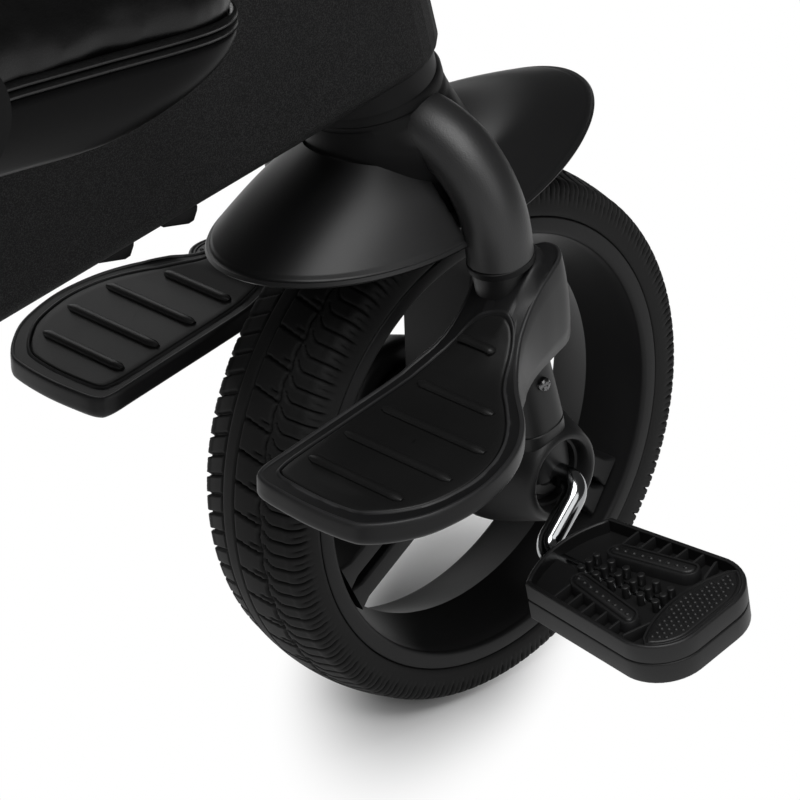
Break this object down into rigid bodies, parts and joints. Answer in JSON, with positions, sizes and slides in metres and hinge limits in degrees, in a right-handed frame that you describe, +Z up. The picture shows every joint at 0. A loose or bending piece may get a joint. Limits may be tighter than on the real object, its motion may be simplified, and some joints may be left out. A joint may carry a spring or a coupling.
{
  "type": "toddler push-along trike",
  "caption": "Push-along trike with a pedalled front wheel in a steered fork, footrests, padded reclining seat, guard bar, braked rear axle and telescopic push handle.",
  "frame": {"origin": "on the floor, below the middle of the trike's overall length and width", "axes": "+X points forward, +Y to the rider's left, +Z up"},
  "size_m": [0.8902, 0.46, 0.9305],
  "materials": {
    "tyre_rubber": "matt moulded rubber tyre with a block tread",
    "rim_plastic": "satin moulded rim",
    "chrome": "bright plated bent rod",
    "pedal_plastic": "fine grained moulded pedal",
    "painted_tube": "gloss black paint on steel tube",
    "head_plastic": "satin black moulding",
    "satin_plastic": "satin black moulding",
    "bush_plastic": "smooth bearing bush",
    "footrest_plastic": "semi gloss black moulding",
    "soft_rubber": "soft matt rubber",
    "steel": "plain steel",
    "sandy_paint": "sandy matt black powder coat",
    "shell_plastic": "matt black moulding",
    "faux_leather": "glossy black faux leather with piping",
    "foam": "closed cell foam sleeve",
    "push_alloy": "dark anodised tube",
    "button_plastic": "grey push button"
  },
  "bodies": {
    "frame": {"main_beam": "sandy_paint", "head_bearing_lower": "head_plastic", "head_bearing_upper": "head_plastic", "beam_clips": "shell_plastic", "seat_pan": "shell_plastic", "seat_cushion": "faux_leather", "recline_pins": "steel", "guard_socket_right": "shell_plastic", "guard_socket_left": "shell_plastic", "rear_post": "shell_plastic", "axle_housing": "shell_plastic", "rear_axle": "steel", "axle_nuts": "steel", "brake_pin": "steel", "push_socket": "painted_tube", "push_collar": "satin_plastic"},
    "steering": {"fork_bow": "painted_tube", "fork_crown": "head_plastic", "steerer_tube": "painted_tube", "mudguard": "satin_plastic", "fork_leg_right": "satin_plastic", "fork_leg_left": "satin_plastic", "hub_bush_right": "bush_plastic", "hub_bush_left": "bush_plastic", "footrest_right": "footrest_plastic", "footrest_left": "footrest_plastic", "footrest_pad_right": "soft_rubber", "footrest_pad_left": "soft_rubber", "leg_screws": "steel", "stem_cover": "head_plastic", "bar_clamp": "head_plastic", "handlebar": "painted_tube", "grip_right": "soft_rubber", "grip_left": "soft_rubber"},
    "front_wheel": {"front_tyre": "tyre_rubber", "front_rim": "rim_plastic", "crank_axle": "chrome"},
    "pedal_right": {"pedal_base_right": "pedal_plastic", "pedal_deck_right": "pedal_plastic"},
    "pedal_left": {"pedal_base_left": "pedal_plastic", "pedal_deck_left": "pedal_plastic"},
    "backrest": {"back_shell": "shell_plastic", "back_cushion": "faux_leather"},
    "guard": {"guard_bar": "shell_plastic", "guard_foam": "foam"},
    "rear_wheel_right": {"rear_tyre_right": "tyre_rubber", "rear_rim_right": "rim_plastic", "hub_cap_right": "rim_plastic"},
    "rear_wheel_left": {"rear_tyre_left": "tyre_rubber", "rear_rim_left": "rim_plastic", "hub_cap_left": "rim_plastic"},
    "brake": {"brake_pedal": "satin_plastic"},
    "push_handle": {"push_tube": "push_alloy", "push_bar": "satin_plastic", "push_grip": "soft_rubber"},
    "button": {"height_button": "button_plastic"}
  },
  "joints": [
    {"name": "steer", "type": "hinge", "parent": "frame", "child": "steering", "pos_m": [0.30511, 0, 0.14], "axis": [-0.284, 0, 0.9588], "range_deg": [-30, 30]},
    {"name": "front_spin", "type": "hinge", "parent": "steering", "child": "front_wheel", "pos_m": [0.30511, 0, 0.14], "axis": [0, 1, 0], "continuous": true},
    {"name": "pedal_right_spin", "type": "hinge", "parent": "front_wheel", "child": "pedal_right", "pos_m": [0.27919, -0.1, 0.11221], "axis": [0, 1, 0], "continuous": true},
    {"name": "pedal_left_spin", "type": "hinge", "parent": "front_wheel", "child": "pedal_left", "pos_m": [0.33103, 0.1, 0.16779], "axis": [0, 1, 0], "continuous": true},
    {"name": "recline", "type": "hinge", "parent": "frame", "child": "backrest", "pos_m": [-0.17089, 0, 0.444], "axis": [0, -1, 0], "range_deg": [0, 12]},
    {"name": "guard_swing", "type": "hinge", "parent": "frame", "child": "guard", "pos_m": [-0.08789, 0, 0.438], "axis": [0, -1, 0], "range_deg": [0, 55]},
    {"name": "rear_right_spin", "type": "hinge", "parent": "frame", "child": "rear_wheel_right", "pos_m": [-0.21489, -0.195, 0.115], "axis": [0, 1, 0], "continuous": true},
    {"name": "rear_left_spin", "type": "hinge", "parent": "frame", "child": "rear_wheel_left", "pos_m": [-0.21489, 0.195, 0.115], "axis": [0, 1, 0], "continuous": true},
    {"name": "brake_press", "type": "hinge", "parent": "frame", "child": "brake", "pos_m": [-0.25189, 0, 0.119], "axis": [0, -1, 0], "range_deg": [0, 15]},
    {"name": "handle_slide", "type": "slide", "parent": "frame", "child": "push_handle", "axis": [-0.309, 0, 0.9511], "range_m": [0, 0.12]},
    {"name": "button_press", "type": "slide", "parent": "frame", "child": "button", "axis": [0.9511, 0, 0.309], "range_m": [0, 0.004], "stiffness_N_per_m": 300}
  ]
}
